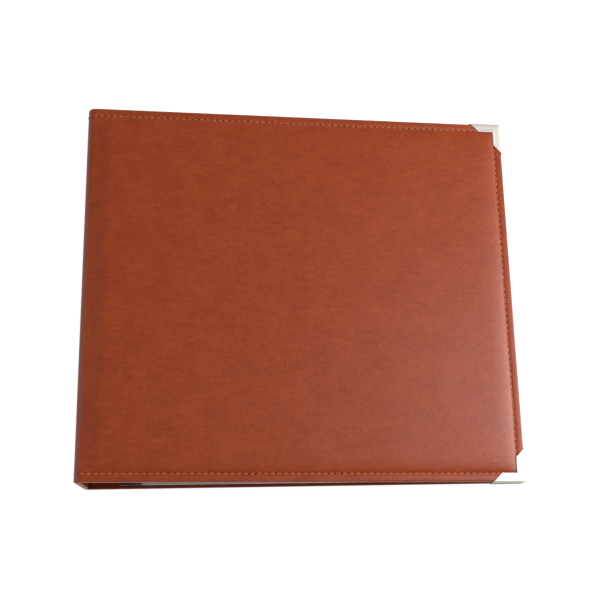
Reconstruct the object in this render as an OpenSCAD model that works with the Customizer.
// Scrapbook album lying shut on its back cover: a padded case in three boards
// (back, spine, front), a three-ring mechanism with a lever at each end, and
// five top-loading page pockets, each with a white card insert.
// The origin is the middle of the footprint, on the surface that the album lies on.
// +X runs from the spine to the fore-edge, +Y from tail to head, +Z up.

/* [Album] */
// Side of the square card inserts, which the whole album is built around
insert_w = 304.8; // [200:0.1:380]
// Height of the album over the front joint at the spine
spine_h = 57; // [44:0.5:80]
// Margin between the lowest page and the fore-edge of the covers
fore_margin = 5.3; // [4:0.1:12]
// Margin between the pages and the tail edge of the covers
tail_margin = 2.6; // [1.5:0.1:8]
// Margin between the pages and the head edge of the covers
head_margin = 3.4; // [1.5:0.1:8]

/* [Covers] */
// Thickness of the outer leather
leather_t = 1; // [0.8:0.1:1.4]
// Thickness of the stiff board in each cover
board_t = 2.6; // [1.6:0.1:3.6]
// Thickness of the lining on the inside of each cover
lining_t = 0.8; // [0.4:0.1:1.2]
// How far the padded panel stands above the flat border
pad_rise = 1.6; // [1:0.1:3]
// Gap between the metal corners' band and the padded panel
pad_gap = 1.4; // [1:0.1:4]
// Outside radius of the leather where it turns from the spine into a cover
bend_r = 7; // [5.8:0.1:9]
// Distance from the joint to the padded panel
pad_hinge_gap = 5; // [3:0.5:10]

/* [Stitching] */
// Distance of the seam from the edge of the cover
seam_inset = 6.3; // [4.5:0.1:7.6]
// Width of the sewing thread
thread_w = 0.8; // [0.5:0.1:1]
// Depth of the channel that the thread lies in
thread_h = 0.4; // [0.2:0.1:0.5]

/* [Metal corners] */
// Length of each leg of a corner along the edge of the cover
corner_leg = 28; // [20:0.5:34]
// Width of the band of a corner
corner_band = 7.2; // [6:0.1:9]
// Thickness of the corner's sheet metal
corner_t = 0.6; // [0.4:0.1:0.8]

/* [Ring mechanism] */
// Distance between the lining of the spine and the cover plate
plate_gap = 10.1; // [9:0.1:16]
// Width of the cover plate
plate_w = 27; // [24:0.5:34]
// Distance of each end of the cover plate from the head or tail of the album
plate_margin = 17; // [12:0.5:22]
// Thickness of the plate's sheet steel
plate_t = 0.8; // [0.6:0.1:1]
// Distance of the first and last ring from the end of the cover plate
ring_end = 37; // [30:0.5:50]
// Diameter of the ring wire
wire_d = 3.6; // [2.8:0.1:4.4]
// Clear space between the shut rings and the front cover
ring_clear = 5.2; // [4.5:0.1:12]
// How far each half of a ring swings when the mechanism is opened
ring_swing = 12; // [8:0.5:14.5]
// Thickness of the two sprung blades that carry the rings
blade_t = 0.8; // [0.5:0.1:1]
// Distance of each blade's pivot edge from the side of the plate
blade_inset = 2; // [1.5:0.1:2.5]
// Width of a lever
lever_w = 9; // [6:0.5:11]
// Length of a lever's finger tab
lever_l = 15; // [10:0.5:18]
// Rise of a lever's finger tab above level when the rings are shut
lever_rise = 50; // [40:1:60]
// Diameter of a lever's pivot pin
lever_pin_d = 2; // [1.6:0.1:2.4]
// Diameter of a rivet's head
rivet_head_d = 5.4; // [4.5:0.1:6.5]
// Diameter of a rivet's shank
rivet_d = 3; // [2.5:0.1:3.6]

/* [Pages] */
// Number of pages
page_count = 5; // [1:1:8]
// Thickness of a card insert
insert_t = 0.25; // [0.15:0.05:0.5]
// Thickness of the clear film of a pocket
film_t = 0.1; // [0.05:0.01:0.15]
// Width of the welded seams of a pocket
weld_w = 1.5; // [1:0.1:2.5]
// How far a pocket stands above its card at the open head
pocket_head = 11.7; // [4:0.1:15]
// Distance from the cover plate to the topmost page's crease
crease_gap = 7.7; // [6:0.1:12]

/* [Hidden] */
$fn = 48;
eps = 0.01;
ring_count = 3;
rivet_count = 2;

// Fits and clearances
page_gap = 0.1;
card_clear = 0.05;
crease_clear = 0.1;
crease_extra = 0.35;
card_side_clear = 1;
stack_clear = 0.3;
pin_clear = 0.05;
blade_clear = 0.4;
slot_clear = 0.35;
slot_wall = 0.12;
hole_clear = 0.6;
split_gap = 0.3;
rivet_clear = 0.8;
strip_clear = 0.5;
lever_side_clear = 0.7;
lever_slot_clear = 0.8;
bend_split = 1.2;

// Pages, numbered from the bottom of the stack
page_t = insert_t + 2 * film_t + 2 * card_clear;
page_pitch = page_t + page_gap;
stack_t = page_count * page_pitch - page_gap;
crease_step = page_t + crease_extra;
pocket_w = insert_w + 2 * (weld_w + card_side_clear);
pocket_d = weld_w + insert_w + pocket_head;

// Overall size, from the pages outwards
flange_t = leather_t + board_t + lining_t;
plate_x = flange_t + plate_gap;
crease_x = plate_x + plate_w + crease_gap;
function crease_at(i) = crease_x + (page_count - 1 - i) * crease_step;
album_w = crease_at(0) + crease_clear + pocket_w + fore_margin;
album_d = tail_margin + pocket_d + head_margin;

// Case
cover_d = album_d - 2 * corner_t;
border_w = corner_band + pad_gap;
neutral_r = bend_r - leather_t / 2;
back_inner_z = pad_rise + flange_t;
back_centre = [bend_r, pad_rise + bend_r];
front_centre = [bend_r, spine_h - bend_r];
back_len = album_w - corner_t - bend_r;
fore_gap = 2 * corner_t + stack_t + 2 * stack_clear;
front_end_z = back_inner_z + fore_gap;

// The front cover slopes down to the fore-edge. Its slope depends a little on itself,
// because the bend turns further on a steeper cover, so it is found in a few steps.
function front_run(t) = album_w - bend_r - (bend_r + corner_t) * sin(t) - corner_t * cos(t);
function slope(t) = atan((front_centre[1] + (bend_r - flange_t) * cos(t) - front_end_z)
    / front_run(t));
cover_tilt = slope(slope(slope(slope(0))));
front_len = front_run(cover_tilt) / cos(cover_tilt);
function front_inner_z(x) = front_centre[1] + (bend_r - flange_t) / cos(cover_tilt)
    - (x - bend_r) * tan(cover_tilt);

// Angles that the leather turns through at the two joints, and their hinge lines.
// A hinge line lies just outside the leather, where the opened cover takes up
// the same length of leather as the shut one.
back_turn = 90;
front_turn = 90 + cover_tilt;
function hinge_r(turn) = neutral_r * turn * PI / 180 / (2 * sin(turn / 2));
back_mid = 180 + back_turn / 2;
front_mid = 180 - front_turn / 2;
back_hinge = back_centre + hinge_r(back_turn) * [cos(back_mid), sin(back_mid)];
front_hinge = front_centre + hinge_r(front_turn) * [cos(front_mid), sin(front_mid)];

// Blades, which swing upwards where they meet as the rings open, and the plate over them
blade_lift = 2.6;
blade_z = back_inner_z + blade_lift;
blade_edge = [plate_x + blade_inset, plate_x + plate_w - blade_inset];
blade_len = (blade_edge[1] - blade_edge[0] - blade_clear) / 2;
blade_rise = blade_len * sin(ring_swing);
plate_h = blade_lift + blade_t / 2 + blade_rise + blade_clear + plate_t;
plate_l = album_d - 2 * plate_margin;
plate_top_z = back_inner_z + plate_h;
plate_mid_x = plate_x + plate_w / 2;
plate_wall_h = plate_h * 0.6;
plate_slope_w = 5.4;

// Rings, whose places are whole tenths so that the straight and bent lengths of wire meet
function tenth(size) = round(size * 10) / 10;
swing_shift = (plate_top_z - blade_z) * sin(ring_swing);
ring_pitch = (plate_l - 2 * ring_end) / (ring_count - 1);
leg_wall_gap = 0.7;
wire_reach = plate_t + slot_wall + slot_clear + swing_shift + wire_d / 2;
post_x = tenth(plate_x + plate_w - wire_reach);
leg_x = tenth(plate_x + wire_reach + leg_wall_gap);
ring_top_z = tenth(front_inner_z(post_x) - ring_clear - wire_d / 2);
tip_r = 4.5;
bow_r = post_x - leg_x - tip_r;
ring_foot_z = blade_z + blade_t / 2;
ring_y = [for (i = [0 : ring_count - 1]) album_d / 2 + (i - (ring_count - 1) / 2) * ring_pitch];

// Rivets stand midway between the rings
rivet_head_h = 0.9;
rivet_y = [for (i = [0 : rivet_count - 1]) (ring_y[i] + ring_y[i + 1]) / 2];

// Binding strips, beside the rivets' heads, and the slope of the pages beyond them
strip_x = plate_mid_x + rivet_head_d / 2 + strip_clear;
strip_z = plate_top_z + page_gap;
hole_swing = (strip_z + stack_t - blade_z) * sin(ring_swing);
hole_d = 2 * (wire_d / 2 / cos(ring_swing) + hole_swing + hole_clear);
stack_end_z = back_inner_z + corner_t + stack_clear;
page_tilt = asin((strip_z - stack_end_z) / pocket_w);
function page_top_at(i) = strip_z + i * page_pitch + page_t + crease_clear;

// Levers, beside the strips
lever_inset = 6;
lever_y = plate_margin + lever_inset;
lever_pin_z = blade_z + 0.1;
lever_knuckle_d = lever_pin_d + 2;
lever_t = 1;
lever_x = strip_x - lever_side_clear - lever_w;
lever_nose_l = 4.2;
lever_nose_w = 5;
lever_room = 12;
blade_end_gap = lever_inset + lever_knuckle_d / 2 + 1;

// Frames: the album's own width and length, each cover's bend line, and each page's crease

module album() {
    translate([-album_w / 2, -album_d / 2, 0]) children();
}

// A cover is drawn outside up, with x running from its bend to the fore-edge
module in_front_cover() {
    album() translate([front_centre[0], corner_t, front_centre[1]])
        rotate([0, cover_tilt, 0]) children();
}

module in_back_cover() {
    album() translate([back_centre[0], corner_t, back_centre[1]])
        mirror([0, 0, 1]) children();
}

module in_page(i) {
    album() translate([crease_at(i), tail_margin, page_top_at(i)])
        rotate([0, page_tilt, 0]) children();
}

// Part of the turned leather, from one angle to another around the bend line
module leather_bend(from, to) {
    translate([0, cover_d, 0]) rotate([90, 0, 0]) rotate([0, 0, from])
        rotate_extrude(angle = to - from, $fn = 96)
            translate([bend_r - leather_t, 0]) square([leather_t, cover_d]);
}

// Covers

module pad_block(len, inset, drop, rise) {
    translate([pad_hinge_gap + inset, border_w + inset, bend_r - drop])
        cube([len - pad_hinge_gap - border_w - 2 * inset, cover_d - 2 * border_w - 2 * inset,
              drop + rise]);
}

// Room for the board and the lining inside the leather's turned-up edges
module case_room(len) {
    translate([-eps, leather_t, bend_r - flange_t - eps])
        cube([len - leather_t + eps, cover_d - 2 * leather_t, flange_t - leather_t + eps]);
}

module seam_lines(len) {
    fore_x = len - seam_inset;
    for (y = [seam_inset, cover_d - seam_inset - thread_w])
        translate([0, y, bend_r - thread_h]) cube([fore_x, thread_w, thread_h]);
    translate([fore_x - thread_w, seam_inset, bend_r - thread_h])
        cube([thread_w, cover_d - 2 * seam_inset, thread_h]);
}

module cover_leather(len, turn) {
    difference() {
        union() {
            translate([0, 0, bend_r - flange_t]) cube([len, cover_d, flange_t]);
            pad_block(len, 0, leather_t / 2, pad_rise);
        }
        case_room(len);
        pad_block(len, leather_t, leather_t + eps, pad_rise - leather_t);
        seam_lines(len);
    }
    leather_bend(90, 90 + turn / 2 - bend_split);
}

module cover_board(len) {
    translate([0, leather_t, bend_r - leather_t - board_t])
        cube([len - leather_t, cover_d - 2 * leather_t, board_t]);
}

module cover_foam(len) {
    pad_block(len, leather_t, leather_t, pad_rise - leather_t);
}

module cover_lining(len) {
    translate([0, leather_t, bend_r - flange_t])
        cube([len - leather_t, cover_d - 2 * leather_t, lining_t]);
}

// Folded sheet corner: a band on the outside, a wall on each edge and a band on the inside
module corner_tail(len) {
    leg = corner_leg + corner_t;
    band = corner_band + corner_t;
    translate([len, 0, bend_r - flange_t]) mirror([1, 0, 0]) difference() {
        translate([-corner_t, -corner_t, -corner_t]) linear_extrude(flange_t + 2 * corner_t)
            polygon([[0, 0], [leg, 0], [leg - band, band], [band, band],
                     [band, leg - band], [0, leg]]);
        cube([leg, leg, flange_t]);
    }
}

module corner_head(len) {
    translate([0, cover_d, 0]) mirror([0, 1, 0]) corner_tail(len);
}

module back_leather() {
    color("sienna") in_back_cover() cover_leather(back_len, back_turn);
}

module back_board() {
    color("darkgray") difference() {
        in_back_cover() cover_board(back_len);
        rivet_holes();
    }
}

module back_foam() {
    color("lightyellow") in_back_cover() cover_foam(back_len);
}

module back_lining() {
    color("saddlebrown") difference() {
        in_back_cover() cover_lining(back_len);
        rivet_holes();
    }
}

module back_stitching() {
    color("darkorange") in_back_cover() seam_lines(back_len);
}

module back_corner_head() {
    color("silver") in_back_cover() corner_head(back_len);
}

module back_corner_tail() {
    color("silver") in_back_cover() corner_tail(back_len);
}

module front_leather() {
    color("sienna") in_front_cover() cover_leather(front_len, front_turn);
}

module front_board() {
    color("darkgray") in_front_cover() cover_board(front_len);
}

module front_foam() {
    color("lightyellow") in_front_cover() cover_foam(front_len);
}

module front_lining() {
    color("saddlebrown") in_front_cover() cover_lining(front_len);
}

module front_stitching() {
    color("darkorange") in_front_cover() seam_lines(front_len);
}

module front_corner_head() {
    color("silver") in_front_cover() corner_head(front_len);
}

module front_corner_tail() {
    color("silver") in_front_cover() corner_tail(front_len);
}

// Spine: a wall between the two joints, which carries half of each turned bend

module spine_wall(x, thickness, end_inset) {
    translate([x, corner_t + end_inset, back_centre[1]])
        cube([thickness, cover_d - 2 * end_inset, front_centre[1] - back_centre[1]]);
}

module spine_seams() {
    for (y = [seam_inset, cover_d - seam_inset - thread_w])
        translate([0, corner_t + y, back_centre[1]])
            cube([thread_h, thread_w, front_centre[1] - back_centre[1]]);
}

module spine_leather() {
    color("sienna") album() {
        difference() {
            spine_wall(0, flange_t, 0);
            translate([0, 0, -eps]) spine_wall(leather_t, flange_t, leather_t);
            translate([0, 0, eps]) spine_wall(leather_t, flange_t, leather_t);
            spine_seams();
        }
        translate([back_centre[0], corner_t, back_centre[1]]) leather_bend(180, back_mid - bend_split);
        translate([front_centre[0], corner_t, front_centre[1]]) mirror([0, 0, 1])
            leather_bend(180, 180 + front_turn / 2 - bend_split);
    }
}

module spine_board() {
    color("darkgray") album() spine_wall(leather_t, board_t, leather_t);
}

module spine_lining() {
    color("saddlebrown") album() spine_wall(leather_t + board_t, lining_t, leather_t);
}

module spine_stitching() {
    color("darkorange") album() spine_seams();
}

// Ring mechanism

module plate_outline(inset) {
    left = plate_x + inset;
    right = plate_x + plate_w - inset;
    top = plate_h - inset;
    wall = plate_wall_h - inset / 4;
    polygon([[left, 0], [left, wall], [left + plate_slope_w - inset / 2, top],
             [right - plate_slope_w + inset / 2, top], [right, wall], [right, 0]]);
}

// Room for a wire that stands at x and swings outwards by swing_shift, to the left or right
module ring_slot(x, y, swing_left) {
    width = wire_d + 2 * slot_clear;
    translate([x - width / 2 - (swing_left ? swing_shift : 0), y - width / 2, blade_z])
        cube([width + swing_shift, width, plate_h]);
}

module rivet_holes() {
    album() for (y = rivet_y)
        translate([plate_mid_x, y, pad_rise + leather_t])
            cylinder(d = rivet_d, h = plate_h + flange_t);
}

module ring_plate() {
    color("silver") difference() {
        album() difference() {
            translate([0, plate_margin + plate_l, back_inner_z]) rotate([90, 0, 0])
                linear_extrude(plate_l) difference() {
                    plate_outline(0);
                    translate([0, -eps]) plate_outline(plate_t);
                }
            for (y = ring_y) {
                ring_slot(leg_x, y, true);
                ring_slot(post_x, y, false);
            }
            for (y = [plate_margin - eps, plate_margin + plate_l - lever_room])
                translate([lever_x - lever_slot_clear, y, back_inner_z + plate_wall_h])
                    cube([lever_w + 2 * lever_slot_clear, lever_room + eps, plate_h]);
        }
        rivet_holes();
    }
}

module plate_rivets() {
    color("gainsboro") album() for (y = rivet_y) translate([plate_mid_x, y, 0]) {
        translate([0, 0, pad_rise + leather_t])
            cylinder(d = rivet_d, h = plate_top_z - pad_rise - leather_t);
        translate([0, 0, plate_top_z]) cylinder(d = rivet_head_d, h = rivet_head_h);
    }
}

// One blade, drawn from its pivot edge; the two meet over the middle of the plate
module blade() {
    difference() {
        translate([0, plate_margin + blade_end_gap, -blade_t / 2])
            cube([blade_len, plate_l - 2 * blade_end_gap, blade_t]);
        for (y = rivet_y)
            translate([plate_mid_x - blade_edge[0], y, -blade_t])
                cylinder(d = rivet_d + 2 * rivet_clear, h = 2 * blade_t);
    }
}

module blade_left() {
    color("lightgray") album() translate([blade_edge[0], 0, blade_z]) blade();
}

module blade_right() {
    color("lightgray") album() translate([blade_edge[1], 0, blade_z]) mirror([1, 0, 0]) blade();
}

module wire_arc(radius, from, to) {
    rotate([90, 0, 0]) rotate([0, 0, from]) rotate_extrude(angle = to - from, $fn = 96)
        translate([radius, 0]) circle(d = wire_d);
}

// The bowed half of a ring: a leg, a wide bow and a tight one down to the post
module ring_left(i) {
    color("silver") album() translate([0, ring_y[i], 0]) {
        leg_top = ring_top_z - bow_r;
        translate([leg_x, 0, ring_foot_z]) cylinder(d = wire_d, h = leg_top - ring_foot_z);
        translate([leg_x + bow_r, 0, leg_top]) wire_arc(bow_r, 90, 180);
        translate([leg_x + bow_r, 0, ring_top_z - tip_r]) wire_arc(tip_r, 0, 90);
    }
}

// The straight post that the pages stack on
module ring_right(i) {
    color("silver") album() translate([post_x, ring_y[i], ring_foot_z])
        cylinder(d = wire_d, h = ring_top_z - tip_r - split_gap - ring_foot_z);
}

module lever_pins() {
    color("gray") album() for (y = [lever_y, album_d - lever_y])
        translate([plate_x + plate_t, y, lever_pin_z]) rotate([0, 90, 0])
            cylinder(d = lever_pin_d, h = plate_w - 2 * plate_t);
}

// A lever, drawn at the tail: a knuckle on its pin, a finger tab and a nose under the blades
module lever_at_tail() {
    album() translate([lever_x, lever_y, lever_pin_z]) difference() {
        union() {
            rotate([0, 90, 0]) cylinder(d = lever_knuckle_d, h = lever_w);
            rotate([-lever_rise, 0, 0]) translate([0, -lever_l, -lever_t / 2])
                cube([lever_w, lever_l, lever_t]);
            translate([plate_mid_x - lever_nose_w / 2 - lever_x, 0, -lever_knuckle_d / 2])
                cube([lever_nose_w, lever_nose_l, lever_t]);
        }
        translate([-eps, 0, 0]) rotate([0, 90, 0])
            cylinder(d = lever_pin_d + 2 * pin_clear, h = lever_w + 2 * eps);
    }
}

module lever_tail() {
    color("silver") lever_at_tail();
}

module lever_head() {
    color("silver") mirror([0, 1, 0]) lever_at_tail();
}

// Pages

module binding_strip(i) {
    color("whitesmoke") album() difference() {
        translate([strip_x, tail_margin, strip_z + i * page_pitch])
            cube([crease_at(i) - crease_clear - strip_x, pocket_d, page_t]);
        for (y = ring_y)
            translate([post_x, y, strip_z]) cylinder(d = hole_d, h = page_count * page_pitch);
    }
}

// Two films welded along three sides and open at the head
module page_pocket(i) {
    color("aliceblue") in_page(i) translate([crease_clear, 0, -crease_clear - page_t])
        difference() {
            cube([pocket_w, pocket_d, page_t]);
            translate([weld_w, weld_w, film_t])
                cube([pocket_w - 2 * weld_w, pocket_d, page_t - 2 * film_t]);
        }
}

module card_insert(i) {
    color("white") in_page(i)
        translate([crease_clear + weld_w + card_side_clear, weld_w + card_clear,
                   -crease_clear - page_t + film_t + card_clear])
            cube([insert_w, insert_w, insert_t]);
}

back_leather();
back_board();
back_foam();
back_lining();
back_stitching();
back_corner_head();
back_corner_tail();
spine_leather();
spine_board();
spine_lining();
spine_stitching();
front_leather();
front_board();
front_foam();
front_lining();
front_stitching();
front_corner_head();
front_corner_tail();
ring_plate();
plate_rivets();
lever_pins();
lever_head();
lever_tail();
blade_left();
blade_right();
for (i = [0 : ring_count - 1]) {
    ring_left(i);
    ring_right(i);
}
for (i = [0 : page_count - 1]) {
    binding_strip(i);
    page_pocket(i);
    card_insert(i);
}
